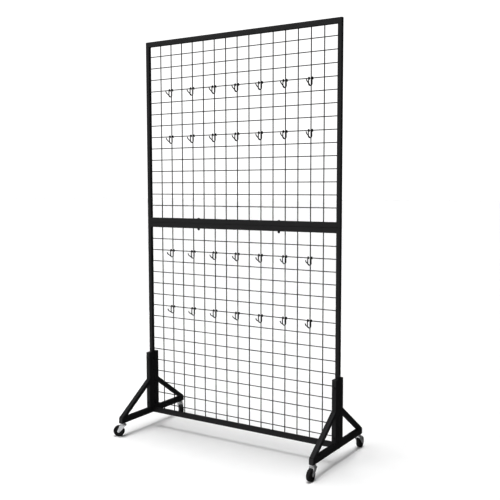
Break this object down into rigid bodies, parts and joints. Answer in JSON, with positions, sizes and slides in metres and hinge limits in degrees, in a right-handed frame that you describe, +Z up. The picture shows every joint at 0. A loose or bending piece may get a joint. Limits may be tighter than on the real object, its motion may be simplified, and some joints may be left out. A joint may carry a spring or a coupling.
{
  "type": "grid display panel",
  "caption": "Framed wire grid display panel on braced feet with swivel casters, with rows of small lift-off wire hooks for hanging carded goods.",
  "frame": {"origin": "on the floor, under the middle of the panel and in the mid plane of its frame", "axes": "+X along the panel to the right, +Y to the rear, +Z up; the hooks face -Y"},
  "size_m": [1.0358, 0.5141, 1.806],
  "materials": {
    "frame_coat": "satin black powder coat",
    "wire_coat": "satin black powder coat",
    "hook_coat": "semi-gloss black coating",
    "fastener_black": "black zinc",
    "zinc": "bright zinc plate",
    "cap_plastic": "matt moulded",
    "wheel_plastic": "moulded polypropylene",
    "tread": "matt rubber",
    "nylon": "natural nylon"
  },
  "bodies": {
    "stand": {"upper_panel_top_rail": "frame_coat", "upper_panel_bottom_rail": "frame_coat", "upper_panel_left_stile": "frame_coat", "upper_panel_right_stile": "frame_coat", "upper_panel_upright_wires": "wire_coat", "upper_panel_cross_wires": "wire_coat", "lower_panel_top_rail": "frame_coat", "lower_panel_bottom_rail": "frame_coat", "lower_panel_left_stile": "frame_coat", "lower_panel_right_stile": "frame_coat", "lower_panel_upright_wires": "wire_coat", "lower_panel_cross_wires": "wire_coat", "front_left_arm": "frame_coat", "front_left_upright": "frame_coat", "front_left_brace": "frame_coat", "front_right_arm": "frame_coat", "front_right_upright": "frame_coat", "front_right_brace": "frame_coat", "rear_left_arm": "frame_coat", "rear_left_upright": "frame_coat", "rear_left_brace": "frame_coat", "rear_right_arm": "frame_coat", "rear_right_upright": "frame_coat", "rear_right_brace": "frame_coat", "upright_caps": "cap_plastic", "arm_caps": "cap_plastic", "joining_bolts": "fastener_black", "clamp_bolts": "fastener_black", "washers": "fastener_black", "nuts": "fastener_black", "caster_nuts": "zinc", "front_left_caster_stem": "zinc", "front_left_swivel_washer": "nylon", "front_right_caster_stem": "zinc", "front_right_swivel_washer": "nylon", "rear_left_caster_stem": "zinc", "rear_left_swivel_washer": "nylon", "rear_right_caster_stem": "zinc", "rear_right_swivel_washer": "nylon"},
    "front_left_fork_body": {"front_left_fork": "zinc", "front_left_axle": "zinc"},
    "front_left_wheel": {"front_left_wheel_hub": "wheel_plastic", "front_left_wheel_tyre": "tread"},
    "front_right_fork_body": {"front_right_fork": "zinc", "front_right_axle": "zinc"},
    "front_right_wheel": {"front_right_wheel_hub": "wheel_plastic", "front_right_wheel_tyre": "tread"},
    "rear_left_fork_body": {"rear_left_fork": "zinc", "rear_left_axle": "zinc"},
    "rear_left_wheel": {"rear_left_wheel_hub": "wheel_plastic", "rear_left_wheel_tyre": "tread"},
    "rear_right_fork_body": {"rear_right_fork": "zinc", "rear_right_axle": "zinc"},
    "rear_right_wheel": {"rear_right_wheel_hub": "wheel_plastic", "rear_right_wheel_tyre": "tread"},
    "hook_row_1": {"hooks_row_1": "hook_coat"},
    "hook_row_2": {"hooks_row_2": "hook_coat"},
    "hook_row_3": {"hooks_row_3": "hook_coat"},
    "hook_row_4": {"hooks_row_4": "hook_coat"}
  },
  "joints": [
    {"name": "front_left_swivel", "type": "hinge", "parent": "stand", "child": "front_left_fork_body", "pos_m": [-0.49, -0.212, 0.053], "axis": [0, 0, 1], "continuous": true},
    {"name": "front_left_roll", "type": "hinge", "parent": "front_left_fork_body", "child": "front_left_wheel", "pos_m": [-0.50732, -0.222, 0.025], "axis": [0.5, -0.866, 0], "continuous": true},
    {"name": "front_right_swivel", "type": "hinge", "parent": "stand", "child": "front_right_fork_body", "pos_m": [0.49, -0.212, 0.053], "axis": [0, 0, 1], "continuous": true},
    {"name": "front_right_roll", "type": "hinge", "parent": "front_right_fork_body", "child": "front_right_wheel", "pos_m": [0.49, -0.232, 0.025], "axis": [1, 0, 0], "continuous": true},
    {"name": "rear_left_swivel", "type": "hinge", "parent": "stand", "child": "rear_left_fork_body", "pos_m": [-0.49, 0.212, 0.053], "axis": [0, 0, 1], "continuous": true},
    {"name": "rear_left_roll", "type": "hinge", "parent": "rear_left_fork_body", "child": "rear_left_wheel", "pos_m": [-0.47468, 0.19914, 0.025], "axis": [0.6428, 0.766, 0], "continuous": true},
    {"name": "rear_right_swivel", "type": "hinge", "parent": "stand", "child": "rear_right_fork_body", "pos_m": [0.49, 0.212, 0.053], "axis": [0, 0, 1], "continuous": true},
    {"name": "rear_right_roll", "type": "hinge", "parent": "rear_right_fork_body", "child": "rear_right_wheel", "pos_m": [0.4893, 0.23199, 0.025], "axis": [-0.9994, -0.0349, 0], "continuous": true},
    {"name": "hook_row_1_lift", "type": "slide", "parent": "stand", "child": "hook_row_1", "axis": [0, 0, 1], "range_m": [0, 0.01]},
    {"name": "hook_row_2_lift", "type": "slide", "parent": "stand", "child": "hook_row_2", "axis": [0, 0, 1], "range_m": [0, 0.01]},
    {"name": "hook_row_3_lift", "type": "slide", "parent": "stand", "child": "hook_row_3", "axis": [0, 0, 1], "range_m": [0, 0.01]},
    {"name": "hook_row_4_lift", "type": "slide", "parent": "stand", "child": "hook_row_4", "axis": [0, 0, 1], "range_m": [0, 0.01]}
  ]
}
